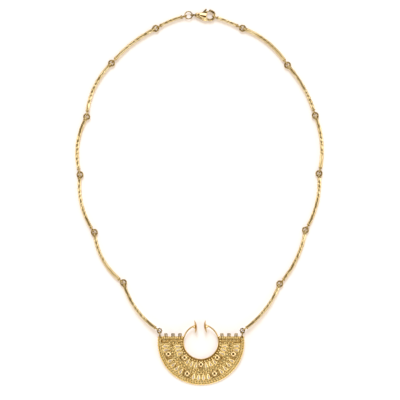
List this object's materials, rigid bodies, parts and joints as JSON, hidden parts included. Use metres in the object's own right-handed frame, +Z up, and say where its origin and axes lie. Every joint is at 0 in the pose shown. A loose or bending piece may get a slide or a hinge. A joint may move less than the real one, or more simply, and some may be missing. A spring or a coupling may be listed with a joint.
{
  "type": "gold pendant necklace",
  "caption": "Gold necklace of bowed bar links with a half-disc openwork pendant, an open polished hoop with dished ends, and a lobster clasp, lying flat.",
  "frame": {"origin": "bottom centre of the necklace's box as it lies on a table", "axes": "+X to the right in the view from above, +Y from the pendant toward the clasp, +Z up from the table"},
  "size_m": [0.1303, 0.1974, 0.0067],
  "materials": {
    "chain_gold": "hammered and polished",
    "polished_gold": "polished",
    "pendant_gold": "satin openwork with polished hoop and studs"
  },
  "bodies": {
    "necklace": {"clasp_body": "polished_gold", "jump_ring": "polished_gold", "bar_left_1": "chain_gold", "bar_left_2": "chain_gold", "bar_left_3": "chain_gold", "bar_left_4": "chain_gold", "bar_left_5": "chain_gold", "bar_left_6": "chain_gold", "bar_left_7": "chain_gold", "bar_right_1": "chain_gold", "bar_right_2": "chain_gold", "bar_right_3": "chain_gold", "bar_right_4": "chain_gold", "bar_right_5": "chain_gold", "bar_right_6": "chain_gold", "bar_right_7": "chain_gold", "pendant": "pendant_gold"},
    "clasp_lever": {"clasp_lever": "polished_gold"}
  },
  "joints": [
    {"name": "lever_hinge", "type": "hinge", "parent": "necklace", "child": "clasp_lever", "pos_m": [-0.0006, 0.09615, 0.0014], "axis": [0, 0, -1], "range_deg": [0, 22], "stiffness_Nm_per_rad": 0.01, "springref_deg": -20.05}
  ]
}
